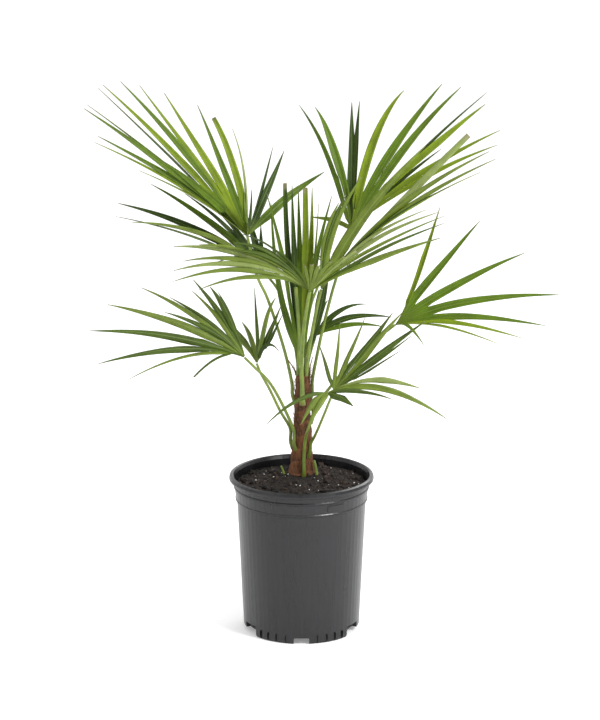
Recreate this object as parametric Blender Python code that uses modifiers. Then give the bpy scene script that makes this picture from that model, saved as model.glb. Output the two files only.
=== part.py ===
"""Potted windmill palm: a pot with its soil, a trunk, and a stalk and a fan blade for every frond.

The pot's underside rests on z = 0 with its middle at the origin. The photo looks along +Y, and +X is to
its right. The script is in metres; frond sizes are written in millimetres and scaled once.
"""

import math

import bmesh
import bpy
import numpy as np
from mathutils import Vector

mm = 0.001
clear_gap = 0.3 * mm

# Pot: heights above the floor and outer radii
pot_height = 0.2603
lip_radius = 0.1175
lip_top_radius = 0.1125
lip_under = 0.2510
ridge_height = 0.2400
band_bottom = 0.2190
band_top_radius = 0.1088
band_bottom_radius = 0.1062
body_top_radius = 0.1046
foot_radius = 0.0942
pot_wall = 0.0022
floor_top = 0.0110
underside = 0.0085
middle_disc_radius = 0.0300
ring_inner_radius = 0.0880
ring_slope_top = 0.0240
pot_segments = 64

# Foot: four legs, each with flutes, and openings between them. Turns are in degrees from the front or back.
leg_turns = (8.0, 51.5)
notch_height = 0.0105
side_gap_height = 0.0078
drain_turns = (51.5, 72.0)
drain_height = 0.0180
opening_corner = 0.0030
flute_turns = (14.5, 24.5, 34.0, 43.5)
flute_width = 0.0070
flute_height = 0.0160
flute_depth = 0.0026

# Bare raised plate on the band
plate_turn = 30.5
plate_width = 0.029
plate_bottom = 0.2260
plate_top = 0.2350
plate_rise = 0.0008

# Soil: its height at the wall and round the trunk
soil_edge = 0.2435
soil_top = 0.2515
soil_flat_radius = 0.035
soil_rings = 5
soil_segments = 36
soil_lump = 0.0006

# Trunk: place of its axis, and its radius at heights above the floor
trunk_base = (0.0005, 0.035)
trunk_head = (0.0025, 0.031)
trunk_foot = soil_top + clear_gap
trunk_top = 0.4170
trunk_radii = (
    (trunk_foot, 0.0225), (0.2570, 0.0210), (0.2650, 0.0192), (0.2890, 0.0172),
    (0.3200, 0.0155), (0.3570, 0.0132), (0.3900, 0.0126), (trunk_top, 0.0117),
)

# Fan blades: fused_part and the rest are shares of a leaflet's length, the others are millimetres
blade_thick = 3.0
hub_clear = 0.45
first_split = 9.0
knee = 0.40
fused_part = 0.34
fold_part = 0.20
full_width_part = 0.40
rows_past_split = 4
stalk_foot = 4.0
path_steps = 3
edge_clear = 0.9
least_half = 0.8

# Fronds, in millimetres. root, way and hub are the stalk's path; stalk is its radius at the root and the hub.
# An end is (right, back, up) from the hub, then how far the leaflet is lifted on its way there, its width,
# and how many leaflets lie between it and the next. Ends run from left to right as the photo shows them.
# faces is 1 where the upper side looks to the photo's camera, otherwise -1. bow is the way leaflets are lifted.
fronds = {
    "front": dict(
        root=(1.5, 14.2, 384), way=((0.8, 13.2, 408), (0, 10, 440), (3, -20, 500), (8, -44, 545)),
        hub=(13, -60, 578), stalk=(4.0, 2.6), faces=-1, cut=(8, 9, 10, 11, 12, 13),
        ends=(
            (-175, -30, 10, 50, 10, 0), (-215, -15, 20, 58, 10, 0), (-215, -5, 35, 58, 10, 0),
            (-200, 5, 48, 56, 11, 0), (-215, 15, 70, 48, 11, 1), (-122, 0, 66, 42, 10, 0),
            (-118, 5, 78, 42, 10, 0), (-106, 5, 92, 38, 10, 0), (-9, -40, 52, 0, 10, 0),
            (3, -42, 54, 0, 10, 0), (14, -40, 52, 0, 10, 0), (34, -32, 56, 5, 12, 0),
            (55, -25, 62, 5, 12, 0), (74, -20, 70, 8, 12, 0), (212, 8, 121, 22, 8, 0),
            (211, -6, 112, 22, 8, 0), (205, -30, 94, 20, 13, 0),
        ),
    ),
    "bright": dict(
        root=(7.8, 24.2, 417.4), way=((9, 22, 440), (16, 4, 490), (25, -12, 543)), hub=(31, -20, 571),
        stalk=(3.2, 2.4), faces=-1, cut=(4,), bow=(-0.6, 0.0, 0.8),
        ends=(
            (28, 0, 142, 28, 10, 0), (39, 0, 155, 25, 10, 0), (63, 0, 183, 30, 9, 0),
            (164, 4, 233, 28, 15, 0), (232, 8, 249, 6, 13, 0), (194, -5, 172, 40, 8, 0),
            (264, -8, 226, 50, 10, 0), (274, -14, 215, 50, 10, 0), (250, -20, 195, 48, 8, 0),
            (206, -25, 175, 44, 8, 0), (166, -28, 137, 40, 7, 0), (184, -38, 135, 40, 7, 0),
        ),
    ),
    "upper_left": dict(
        root=(-14.8, 33, 384), way=((-16.5, 33, 408), (-30, 35, 466), (-54, 40, 540), (-72, 45, 580)),
        hub=(-87, 50, 643), stalk=(2.9, 2.2), faces=1, cut=(12,), bow=(0.35, 0.0, 0.94),
        ends=(
            (-169, -70, 122, 17, 9, 0), (-238, -74, 168, 21, 10, 0), (-233, -66, 176, 21, 9, 0),
            (-254, -74, 222, 16, 10, 0), (-250, -64, 226, 16, 9, 0),
            (-130, -90, 141, 15, 12, 0), (-232, -60, 252, 4, 10, 0), (-225, -50, 255, 15, 9, 0),
            (-198, -40, 259, 16, 12, 0), (-169, -20, 249, 4, 10, 0), (-131, 0, 233, 8, 11, 0),
            (-79, 20, 210, 8, 9, 0), (-54, 30, 187, 34, 11, 0), (-24, 40, 167, 40, 9, 0),
            (-5, -60, 90, 5, 16, 0), (8, -40, 85, 5, 8, 0), (41, 70, 131, 10, 11, 0),
            (59, 80, 123, 8, 11, 0), (124, 100, 84, 24, 12, 0),
        ),
    ),
    "upper_right": dict(
        root=(17.2, 34, 386), way=((18.4, 35, 412), (32, 40, 481), (48, 46, 546), (58, 50, 580)),
        hub=(80, 60, 654), stalk=(2.9, 2.2), faces=1, cut=(),
        ends=(
            (-66, 80, 0, 10, 7, 0), (-84, 70, 187, 57, 9, 0), (-58, 60, 186, 65, 12, 0),
            (1, 50, 196, 10, 13, 0), (13, 46, 198, 10, 13, 0), (84, 30, 219, 85, 12, 0),
            (144, 10, 233, 40, 12, 0), (174, 0, 230, 38, 11, 0), (212, -12, 204, 22, 14, 0),
            (215, -2, 221, 25, 8, 0), (143, 0, 129, 15, 7, 0), (236, -20, 164, 28, 10, 0),
            (231, -30, 142, 28, 9, 0),
        ),
    ),
    "spear_leaf": dict(
        root=(0, 31.5, 417.4), way=(), hub=(-1, 35, 438),
        stalk=(2.6, 2.4), faces=1, cut=(2, 5), bow=(1.0, 0.0, 0.0), fused=0.62,
        ends=(
            (-48, 5, 262, -22, 9, 0), (-54, -20, 282, 10, 9, 0), (-26, 4, 294, -12, 11, 0),
            (-14, -4, 292, -6, 11, 0), (-4, 8, 284, 0, 11, 0), (7, -2, 288, 6, 12, 0),
            (18, 8, 286, 10, 11, 0), (28, -2, 262, 12, 10, 0), (49, -20, 278, -14, 10, 0),
            (46, 0, 205, 25, 9, 0),
        ),
    ),
    "lower_left": dict(
        root=(-12.5, 17.6, 306), way=((-13.4, 17.4, 330), (-35, 12, 381), (-54, 8, 414), (-75, 3, 437)),
        hub=(-91, 0, 454), stalk=(2.9, 2.1), faces=-1, cut=(0,),
        ends=(
            (-81, -50, -18, 36, 9, 0), (-184, -60, -20, 45, 10, 0), (-233, -50, 3, 38, 11, 0),
            (-246, -40, 55, 28, 11, 0), (-218, -20, 93, 28, 11, 0), (-128, -10, 78, 25, 8, 0),
            (-166, 0, 116, 30, 10, 0), (-120, 8, 98, 22, 7, 0), (-85, 20, 106, 20, 7, 0),
            (-83, 30, 122, 20, 9, 0), (-56, 30, 110, 30, 13, 0), (-44, 44, 98, 30, 9, 0),
        ),
    ),
    "left_behind": dict(
        root=(-18.0, 38, 304), way=((-18.8, 38, 326), (-35, 36, 356), (-51, 33, 391), (-66, 31, 420)),
        hub=(-72, 30, 436), stalk=(2.8, 2.0), faces=-1, cut=(),
        ends=(
            (-60, 90, 55, 20, 9, 0), (-25, 76, 50, 20, 9, 0), (-4, 40, 117, 5, 10, 0),
            (31, -12, 113, 45, 8, 0), (39, -10, 99, 0, 8, 0), (42, -20, 87, 0, 7, 0), (36, -30, 28, 45, 5, 0),
        ),
    ),
    "far_right": dict(
        root=(19.1, 33, 348), way=((20.2, 32, 366), (38, 24, 388), (66, 18, 425), (100, 14, 464)),
        hub=(150, 10, 506), stalk=(2.9, 2.1), faces=1, cut=(),
        ends=(
            (63, 50, 158, -35, 12, 0), (72, 44, 184, -35, 12, 0), (136, 40, 162, 8, 11, 0),
            (208, 20, 114, 20, 11, 0), (265, -10, 52, 33, 11, 0), (239, -40, 9, 26, 11, 0),
            (200, -60, -6, 24, 10, 0), (162, -70, -13, 22, 9, 0), (44, -70, -15, 22, 9, 0),
        ),
    ),
    "low_front": dict(
        root=(4, 10.2, 259), way=((4, 12.4, 285), (6, 9, 312), (11, -3, 336), (25, -34, 378)),
        hub=(42, -60, 412), stalk=(2.9, 2.2), faces=1, cut=(),
        ends=(
            (-98, -40, -41, 28, 6, 0), (-43, -34, -43, 25, 10, 0), (-34, -50, -52, 22, 10, 0),
            (40, -50, -8, 8, 12, 0), (101, -90, 14, 18, 7, 0), (187, -60, -26, 60, 15, 0),
            (145, -40, 19, 35, 12, 0),
        ),
    ),
    "low_right": dict(
        root=(14, 19.5, 293), way=((15.5, 17.5, 306), (22, 11, 321), (33, 2, 350), (46, -10, 387)),
        hub=(52, -14, 403), stalk=(2.6, 1.9), faces=-1, cut=(), fused=0.42,
        ends=(
            (-24, 10, 75, 0, 5, 0), (10, 20, 109, 0, 5, 0), (50, 20, 116, 0, 6, 0),
            (94, 5, 128, 3, 13, 0), (108, -4, 130, 3, 12, 0), (146, -10, 118, 5, 11, 0),
            (123, -24, 97, 0, 8, 0), (106, -32, 75, 0, 8, 0), (85, -38, 63, 0, 8, 0),
        ),
    ),
    "small_right": dict(
        root=(9.2, 36.2, 417.4), way=((11, 38, 435), (15, 42, 452)), hub=(23, 50, 477),
        stalk=(2.3, 1.9), faces=1, cut=(),
        ends=(
            (5, 70, 60, 10, 8, 0), (20, 60, 45, 20, 8, 0), (83, 30, 46, 32, 9, 0),
            (123, 10, 29, 32, 9, 0), (111, -10, 18, 22, 8, 0),
        ),
    ),
    "left_back": dict(
        root=(-5.6, 36.5, 417.4), way=((-6.5, 38, 434), (-13, 50, 475), (-24, 64, 515), (-40, 78, 550)),
        hub=(-64, 90, 577), stalk=(2.4, 2.1), faces=1, cut=(),
        ends=(
            (-207, -80, 98, 45, 9, 0), (-232, -70, 105, 25, 11, 0), (-229, -50, 122, 32, 11, 0),
            (-177, -30, 149, 25, 10, 1), (-90, 30, 110, 20, 9, 0), (-30, 50, 90, 15, 9, 0),
            (-2, 20, 72, 5, 8, 0),
        ),
    ),
    "back_left": dict(
        root=(-0.2, 39.4, 417.4), way=((-1, 42, 436), (-6, 66, 490), (-10, 100, 540)), hub=(-18, 132, 572),
        stalk=(2.4, 2.1), faces=1, cut=(),
        ends=(
            (-110, 60, -8, 25, 10, 1), (-130, 130, -25, 35, 11, 1), (-75, 185, -40, 40, 11, 1),
            (-20, 210, -50, 45, 11, 1), (35, 190, -40, 40, 11, 1), (60, 130, -20, 30, 10, 0),
        ),
    ),
    "back_right": dict(
        root=(5.4, 40.6, 417.4), way=((6, 44, 436), (8, 62, 480), (16, 90, 520)), hub=(28, 118, 546),
        stalk=(2.3, 2.1), faces=1, cut=(),
        ends=(
            (-30, 120, -40, 25, 10, 1), (0, 190, -35, 35, 11, 1), (40, 190, -20, 40, 11, 1),
            (60, 150, -5, 35, 11, 1), (65, 90, 25, 25, 10, 1), (45, 40, 25, 10, 9, 0),
        ),
    ),
}

# Cut stalks, as paths in millimetres with the radius at each end
cut_stalks = {
    "cut_spear": ((-6.5, 25.8, 417.4), (-6.3, 25, 430), (-3.5, 17, 470), (-4.5, 12, 505), (-9, 8, 568)),
    "soil_stub_left": ((-28, 24, 251.8), (-30, 24, 257), (-33, 25, 265)),
    "soil_stub_right": ((25, 17, 251.8), (23.5, 19, 262), (20.5, 22, 275)),
    "torn_fibre_left": ((-8.4, 30.5, 417.4), (-12, 28, 428), (-23, 24, 446)),
    "torn_fibre_right": ((12.2, 29.5, 417.4), (14, 29, 432), (18, 28, 448)),
}
cut_radii = {
    "cut_spear": (2.2, 2.9), "soil_stub_left": (1.9, 1.6), "soil_stub_right": (2.6, 2.2),
    "torn_fibre_left": (1.5, 0.8), "torn_fibre_right": (1.3, 0.7),
}

colors = {
    "pot_plastic": ((0.035, 0.035, 0.038), 0.42),
    "soil": ((0.020, 0.014, 0.010), 0.95),
    "trunk_fibre": ((0.095, 0.042, 0.020), 0.9),
    "stalk_green": ((0.19, 0.30, 0.045), 0.5),
    "leaf_green": ((0.075, 0.155, 0.018), 0.5),
}


def clear_scene():
    for old in list(bpy.data.objects):
        bpy.data.objects.remove(old, do_unlink=True)


def make_collection(name):
    group = bpy.data.collections.new(name)
    bpy.context.scene.collection.children.link(group)
    return group


def make_material(name):
    color, rough = colors[name]
    made = bpy.data.materials.new(name)
    made.use_nodes = True
    shader = made.node_tree.nodes["Principled BSDF"]
    shader.inputs["Base Color"].default_value = (*color, 1.0)
    shader.inputs["Roughness"].default_value = rough
    return made


def add_object(name, mesh, group, material=None):
    made = bpy.data.objects.new(name, mesh)
    group.objects.link(made)
    if material is not None:
        mesh.materials.clear()
        mesh.materials.append(material)
    return made


def mesh_from(name, points, faces):
    mesh = bpy.data.meshes.new(name)
    mesh.from_pydata([tuple(map(float, point)) for point in points], [], faces)
    mesh.update()
    return mesh


def baked(made):
    """The object's mesh with its modifiers applied, in world space and with doubles merged."""
    bpy.context.view_layer.update()
    seen = made.evaluated_get(bpy.context.evaluated_depsgraph_get())
    mesh = bpy.data.meshes.new_from_object(seen)
    mesh.transform(made.matrix_world)
    work = bmesh.new()
    work.from_mesh(mesh)
    bmesh.ops.remove_doubles(work, verts=work.verts, dist=0.00001)
    bmesh.ops.recalc_face_normals(work, faces=work.faces)
    work.to_mesh(mesh)
    work.free()
    return mesh


def replace_with_baked(made):
    """Bakes the object, then puts the plain mesh in its place."""
    mesh = baked(made)
    for modifier in list(made.modifiers):
        made.modifiers.remove(modifier)
    if made.type == "MESH":
        made.data = mesh
        return made
    name, group, material = made.name, made.users_collection[0], made.data.materials[0]
    bpy.data.objects.remove(made, do_unlink=True)
    return add_object(name, mesh, group, material)


def smooth_path(points, steps):
    """Points on a Catmull-Rom curve through the given points, with the same number of steps in each span."""
    given = np.array(points, float)
    if len(given) == 2:
        return np.linspace(given[0], given[1], steps + 1)
    ends = np.vstack([2 * given[0] - given[1], given, 2 * given[-1] - given[-2]])
    share = np.linspace(0, 1, steps, endpoint=False)[:, None]
    spans = []
    for before, start, end, after in zip(ends, ends[1:], ends[2:], ends[3:]):
        spans.append(
            0.5 * (2 * start + (end - before) * share + (2 * before - 5 * start + 4 * end - after) * share**2
                   + (3 * start - before - 3 * end + after) * share**3)
        )
    return np.vstack([*spans, given[-1:]])


def limb(name, path, radii, group, material, ring=2):
    """One tapering limb: a curve with a round bevel and closed ends, made mesh."""
    curve = bpy.data.curves.new(name, "CURVE")
    curve.dimensions = "3D"
    curve.bevel_depth = 1.0
    curve.bevel_resolution = ring
    curve.use_fill_caps = True
    line = curve.splines.new("POLY")
    line.points.add(len(path) - 1)
    for point, place, radius in zip(line.points, path, radii):
        point.co = (*place, 1.0)
        point.radius = radius
    curve.materials.append(material)
    return replace_with_baked(add_object(name, curve, group))


def turned_solid(name, profile, group, material, segments):
    """Turns an open profile that starts and ends on the axis, running down its outer side."""
    mesh = bpy.data.meshes.new(name)
    edges = [(i, i + 1) for i in range(len(profile) - 1)]
    mesh.from_pydata([(radius, 0.0, height) for radius, height in profile], edges, [])
    made = add_object(name, mesh, group, material)
    screw = made.modifiers.new("turn", "SCREW")
    screw.angle = 2 * math.pi
    screw.steps = segments
    screw.render_steps = segments
    screw.use_merge_vertices = True
    screw.merge_threshold = 0.00005
    return replace_with_baked(made)


def pot_profile():
    """The pot's half section: down the outside, under the foot to the axis, and back up the inside."""
    outside = [
        (lip_top_radius, pot_height), (lip_radius - 0.0014, pot_height - 0.0016),
        (lip_radius, pot_height - 0.0055), (lip_radius - 0.0006, lip_under + 0.0010),
        (lip_radius - 0.0020, lip_under), (band_top_radius + 0.0006, lip_under - 0.0008),
        (band_top_radius, ridge_height + 0.0025), (band_top_radius + 0.0012, ridge_height + 0.0010),
        (band_top_radius + 0.0012, ridge_height - 0.0010), (band_top_radius - 0.0004, ridge_height - 0.0023),
        (band_bottom_radius + 0.0004, band_bottom + 0.0030), (band_bottom_radius + 0.0012, band_bottom + 0.0018),
        (band_bottom_radius + 0.0010, band_bottom), (body_top_radius, band_bottom - 0.0016),
        (foot_radius, 0.0055), (foot_radius - 0.0012, 0.0016), (foot_radius - 0.0030, 0.0),
    ]
    under = [
        (ring_inner_radius + 0.0006, 0.0), (ring_inner_radius, underside),
        (middle_disc_radius + 0.0010, underside), (middle_disc_radius, 0.0), (0.0, 0.0),
    ]
    inside = [
        (0.0, floor_top), (ring_inner_radius, floor_top), (foot_radius - pot_wall + 0.0004, ring_slope_top),
        (body_top_radius - pot_wall, band_bottom - 0.0016), (band_bottom_radius - pot_wall, band_bottom + 0.0030),
        (band_top_radius - pot_wall, ridge_height), (band_top_radius - 0.0004, lip_under + 0.0030),
        (lip_top_radius - 0.0020, pot_height - 0.0014),
    ]
    return [*outside, *under, *inside, outside[0]]


def arc_blocks(name, spans, inner, group):
    """Cutters for the foot in one mesh: blocks that follow the wall, standing below the floor.

    A span is the turn it starts and ends at in degrees, its height, and the radius of its two top corners.
    """
    outer = lip_radius
    points, faces = [], []
    for start, end, height, corner in spans:
        length = math.radians(end - start) * foot_radius
        round_in = [corner * (1 - math.cos(math.pi / 2 * k / 3)) for k in range(4)]
        inside = max(0, math.ceil((length - 2 * corner) / 0.009) - 1)
        flat = [corner + (length - 2 * corner) * (k + 1) / (inside + 1) for k in range(inside)]
        places = sorted({round(v, 6) for v in [*round_in, *flat, *(length - v for v in round_in)]})
        first = len(points)
        for place in places:
            turn = math.radians(start - 90) + place / foot_radius
            short = max(0.0, corner - place, corner - (length - place))
            top = height - corner + math.sqrt(max(corner**2 - short**2, 0.0))
            for radius in (inner, outer):
                for level in (-0.01, top):
                    points.append((radius * math.cos(turn), radius * math.sin(turn), level))
        last = first + 4 * (len(places) - 1)
        faces += [(first, first + 1, first + 3, first + 2), (last, last + 2, last + 3, last + 1)]
        for a in range(first, last, 4):
            b = a + 4
            faces += [(a, b, b + 1, a + 1), (a + 1, b + 1, b + 3, a + 3)]
            faces += [(a + 3, b + 3, b + 2, a + 2), (a + 2, b + 2, b, a)]
    return make_tool(name, points, faces, group)


def make_tool(name, points, faces, group):
    mesh = mesh_from(name, points, faces)
    work = bmesh.new()
    work.from_mesh(mesh)
    bmesh.ops.recalc_face_normals(work, faces=work.faces)
    work.to_mesh(mesh)
    work.free()
    made = add_object(name, mesh, group)
    made.hide_render = True
    made.display_type = "WIRE"
    return made


def mirrored_spans(start, end, height, corner):
    """The span and its mirror images to the left, to the back and to both."""
    return [
        (start, end, height, corner), (-end, -start, height, corner),
        (180 - end, 180 - start, height, corner), (180 + start, 180 + end, height, corner),
    ]


def boolean(made, cutter, operation):
    modifier = made.modifiers.new(operation.lower(), "BOOLEAN")
    modifier.operation = operation
    modifier.solver = "EXACT"
    modifier.object = cutter


def band_plate(group):
    """The bare raised plate: a short arc of the band, a little prouder than it, sunk into the wall behind."""
    half = plate_width / 2 / band_top_radius
    middle = math.radians(-90 + plate_turn)
    steps = 6
    turns = [middle + half * (2 * i / steps - 1) for i in range(steps + 1)]

    def face_radius(height):
        share = (height - band_bottom - 0.0030) / (ridge_height - 0.0023 - band_bottom - 0.0030)
        return band_bottom_radius + 0.0004 + share * (band_top_radius - band_bottom_radius - 0.0008)

    points = []
    for turn in turns:
        for height in (plate_bottom, plate_top):
            for radius in (face_radius(height) - 0.0012, face_radius(height) + plate_rise):
                points.append((radius * math.cos(turn), radius * math.sin(turn), height))
    faces = [(0, 1, 3, 2), tuple(4 * steps + k for k in (0, 2, 3, 1))]
    for a in range(0, 4 * steps, 4):
        b = a + 4
        faces += [(a, b, b + 1, a + 1), (a + 1, b + 1, b + 3, a + 3)]
        faces += [(a + 3, b + 3, b + 2, a + 2), (a + 2, b + 2, b, a)]
    return make_tool("plate_tool", points, faces, group)


def make_pot(group, tools, material):
    pot = turned_solid("pot", pot_profile(), group, material, pot_segments)
    notch, leg_end = leg_turns
    under_inner = ring_inner_radius - 0.0005
    openings = [(turn - notch, turn + notch, notch_height, opening_corner) for turn in (0, 180)]
    openings += [(turn + leg_end, turn + 180 - leg_end, side_gap_height, opening_corner) for turn in (0, 180)]
    drains = mirrored_spans(*drain_turns, drain_height, opening_corner)
    half = math.degrees(flute_width / 2 / foot_radius)
    flutes = []
    for turn in flute_turns:
        flutes += mirrored_spans(turn - half, turn + half, flute_height, flute_width / 2)
    boolean(pot, arc_blocks("opening_tool", openings, under_inner, tools), "DIFFERENCE")
    boolean(pot, arc_blocks("drain_tool", drains, under_inner, tools), "DIFFERENCE")
    boolean(pot, arc_blocks("flute_tool", flutes, foot_radius - flute_depth, tools), "DIFFERENCE")
    boolean(pot, band_plate(tools), "UNION")
    return replace_with_baked(pot)


def inner_radius(height):
    """The pot's inside radius at a height between its floor and its band."""
    share = (height - ring_slope_top) / (band_bottom - 0.0016 - ring_slope_top)
    low = foot_radius - pot_wall + 0.0004
    return low + share * (body_top_radius - pot_wall - low)


def make_soil(group, material):
    """Soil: a body filling the pot, whose top rises from the wall to a flat patch round the trunk."""
    turns = np.linspace(0, 2 * math.pi, soil_segments, endpoint=False)
    round_unit = np.stack([np.cos(turns), np.sin(turns)], axis=1)
    wall_radius = band_top_radius - pot_wall - clear_gap - 0.0006
    rings = []

    def ring(centre, radius, height, waves=0.0):
        lumps = waves * (np.sin(5 * turns + 40 * radius) + 0.7 * np.sin(11 * turns - 60 * radius))
        spot = np.array(centre)[None, :] + round_unit * radius
        return np.column_stack([spot, height + lumps])

    for i in range(soil_rings + 1):
        share = i / soil_rings
        centre = np.array(trunk_base) * (1 - share)
        radius = soil_flat_radius + share * (wall_radius - 0.0004 - soil_flat_radius)
        fall = share * share * (3 - 2 * share)
        height = soil_top - (soil_top - soil_edge) * fall
        rings.append(ring(centre, radius, height, soil_lump if 0 < i < soil_rings else 0.0))
    low_wall = ring_slope_top + 0.001
    rings.append(ring((0, 0), inner_radius(band_bottom - 0.0030) - clear_gap - 0.0002, band_bottom - 0.0030))
    rings.append(ring((0, 0), inner_radius(low_wall) - clear_gap - 0.0003, low_wall))
    rings.append(ring((0, 0), ring_inner_radius - clear_gap, floor_top + clear_gap))
    points = np.vstack(rings)
    count = soil_segments
    faces = [tuple(range(count)), tuple(reversed(range(len(points) - count, len(points))))]
    for k in range(len(rings) - 1):
        a, b = k * count, (k + 1) * count
        faces += [(a + i, b + i, b + (i + 1) % count, a + (i + 1) % count) for i in range(count)]
    made = add_object("soil", mesh_from("soil", points, faces), group, material)
    return replace_with_baked(made)


def make_trunk(group, material):
    """The trunk leans from its second height on, so that its foot is cut flat."""
    heights = [height for height, _ in trunk_radii]
    base, head = np.array(trunk_base), np.array(trunk_head)
    share = np.clip((np.array(heights) - heights[1]) / (trunk_top - heights[1]), 0, 1)[:, None]
    path = np.column_stack([base + share * (head - base), heights])
    return limb("trunk", path, [radius for _, radius in trunk_radii], group, material, ring=5)


def unit(rows):
    return rows / np.maximum(np.linalg.norm(rows, axis=-1, keepdims=True), 1e-9)


def leaflets(frond):
    """Every leaflet's end, lift, width and whether it is cut: the given ones and those between them."""
    ends = frond["ends"]
    found = []
    for k, (right, back, up, lift, width, more) in enumerate(ends):
        here = np.array((right, back, up), float)
        found.append((here, lift, width, k in frond["cut"]))
        if k + 1 == len(ends):
            break
        after = np.array(ends[k + 1][:3], float)
        for j in range(1, more + 1):
            share = j / (more + 1)
            way = unit(unit(here) * (1 - share) + unit(after) * share)
            length = (1 - share) * np.linalg.norm(here) + share * np.linalg.norm(after)
            found.append((
                way * length * (1.04 if (k + j) % 2 else 0.93),
                lift + share * (ends[k + 1][3] - lift), width + share * (ends[k + 1][4] - width), False,
            ))
    return found


def fan_grid(frond):
    """The blade as one open pleated sheet, in millimetres.

    A leaflet's rib is a curve from the hub to its end that starts towards a knee lifted along bow. Up to the
    split neighbours share the line midway between their ribs; past it each has an edge of its own on both
    sides, half a width from the rib, and the width runs out at the tip.
    """
    hub = np.array(frond["hub"], float)
    bow = np.array(frond.get("bow", (0.0, 0.0, 1.0)))
    fused = frond.get("fused", fused_part)
    parts = leaflets(frond)
    end = np.array([part[0] for part in parts])
    lift = np.array([part[1] for part in parts], float)
    width = np.array([part[2] for part in parts], float)
    cut = [part[3] for part in parts]
    count = len(parts)
    control = knee * end + lift[:, None] * bow
    reach = np.linalg.norm(end, axis=1)

    def rib(share):
        share = np.asarray(share, float)[..., None]
        return hub + 2 * share * (1 - share) * control + share**2 * end

    trail = np.array([rib(np.full(count, share)) for share in np.linspace(0, 1, 41)])

    def normals(share):
        """Unit vectors square to the sheet, on the side that the photo sees, and along it to the right."""
        line = rib(share)
        out = unit(rib(share + 0.01) - rib(share - 0.01))
        level = rib(np.clip(np.median(share * reach) / reach, 0.0, 1.0))
        across = np.empty_like(line)
        across[1:-1] = level[2:] - level[:-2]
        across[0], across[-1] = level[1] - level[0], level[-1] - level[-2]
        across = unit(across - out * (across * out).sum(1, keepdims=True))
        return np.cross(across, out), across

    def room(line, i):
        """Distance from a point of leaflet i to the nearest other rib."""
        others = np.delete(trail, i, axis=1)
        return np.linalg.norm(others - line, axis=2).min()

    # The split lies where neighbours have drawn a little over a width apart, and never past the fused part.
    split = np.full(count + 1, first_split)
    limit = np.minimum(reach[1:], reach[:-1]) * fused
    for far in np.linspace(first_split, 0.6 * reach.max(), 60):
        pair = rib(np.clip(far / reach, 0, 1))
        near = np.linalg.norm(pair[1:] - pair[:-1], axis=1) < 0.575 * (width[1:] + width[:-1])
        split[1:-1] = np.where(near & (far < limit), far, split[1:-1])
    split[0], split[-1] = split[1], split[-2]
    middle = np.minimum(0.5 * (split[1:] + split[:-1]) / reach, 0.7)

    # Boundary points at the split
    normal, across = normals(middle)
    fold = fold_part * width * frond["faces"]
    edge = np.empty((count + 1, 3))
    for i in range(1, count):
        pair = rib(np.clip(split[i] / reach, 0, 1))[i - 1:i + 1]
        lean = 0.5 * (fold[i - 1] * normal[i - 1] + fold[i] * normal[i])
        edge[i] = pair.mean(0) + 0.6 * lean
    edge[0] = rib(middle)[0] - across[0] * width[0] * 0.42 + 0.6 * fold[0] * normal[0]
    edge[-1] = rib(middle)[-1] + across[-1] * width[-1] * 0.42 + 0.6 * fold[-1] * normal[-1]
    spine = rib(middle) - 0.4 * (fold[:, None] * normal)

    # Hub ring, one point for every second boundary
    keep = sorted(set(range(0, count + 1, 2)) | {count})
    hub_radius = frond["stalk"][1] + hub_clear + 0.5
    toward = np.vstack([control[:1], 0.5 * (control[1:] + control[:-1]), control[-1:]])
    ring = hub + unit(toward) * hub_radius

    points = list(ring[keep])
    ring_of = {k: n for n, k in enumerate(keep)}
    edge_of = [len(points) + i for i in range(count + 1)]
    points += list(edge)
    spine_of = [len(points) + i for i in range(count)]
    points += list(spine)
    faces = []
    for a, b in zip(keep, keep[1:]):
        chain = [edge_of[a]]
        for i in range(a, b):
            chain += [spine_of[i], edge_of[i + 1]]
        half = len(chain) // 2
        for k in range(len(chain) - 1):
            corner = ring_of[a] if k < half else ring_of[b]
            faces.append((corner, chain[k + 1], chain[k]))
            if k + 1 == half:
                faces.append((ring_of[a], ring_of[b], chain[half]))

    # Rows past the split
    left, mid, right = list(edge_of[:-1]), list(spine_of), list(edge_of[1:])
    for row in range(1, rows_past_split + 1):
        along = row / rows_past_split
        share = middle + (1 - middle) * along
        line = rib(share)
        normal, across = normals(np.minimum(share, 0.98))
        narrow = max(along - full_width_part, 0.0) / (1 - full_width_part)
        for i in range(count):
            if row == rows_past_split and not cut[i]:
                tip = len(points)
                points.append(line[i])
                faces += [(left[i], mid[i], tip), (mid[i], right[i], tip)]
                continue
            shape = 0.9 - 0.25 * along if cut[i] else 1.0 - 0.9 * narrow**1.3
            half = min(0.5 * width[i] * shape, max(0.5 * room(line[i], i) - edge_clear, least_half))
            rise = fold_part * 2 * half * frond["faces"]
            low = line[i] - 0.4 * rise * normal[i]
            high = line[i] + 0.6 * rise * normal[i]
            start = len(points)
            points += [high - across[i] * half, low, high + across[i] * half]
            faces += [(left[i], mid[i], start + 1, start), (mid[i], right[i], start + 2, start + 1)]
            left[i], mid[i], right[i] = start, start + 1, start + 2
    return np.array(points) * mm, faces


def make_fan(name, frond, group, material):
    points, faces = fan_grid(frond)
    blade = add_object(name, mesh_from(name, points, faces), group, material)
    thick = blade.modifiers.new("thickness", "SOLIDIFY")
    thick.thickness = blade_thick * mm
    thick.offset = 0.0
    return replace_with_baked(blade)


def upright_start(points):
    """The path with a short upright piece before it, so that the limb's foot is cut level."""
    root = np.array(points[0], float)
    above = root + np.array((0.0, 0.0, stalk_foot))
    rest = smooth_path([above, *points[1:]], path_steps)
    return np.vstack([root, rest]) * mm


def make_stalk(name, frond, group, material):
    path = upright_start([frond["root"], *frond["way"], frond["hub"]])
    radii = np.linspace(*frond["stalk"], len(path)) * mm
    return limb(name, path, radii, group, material)


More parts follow.
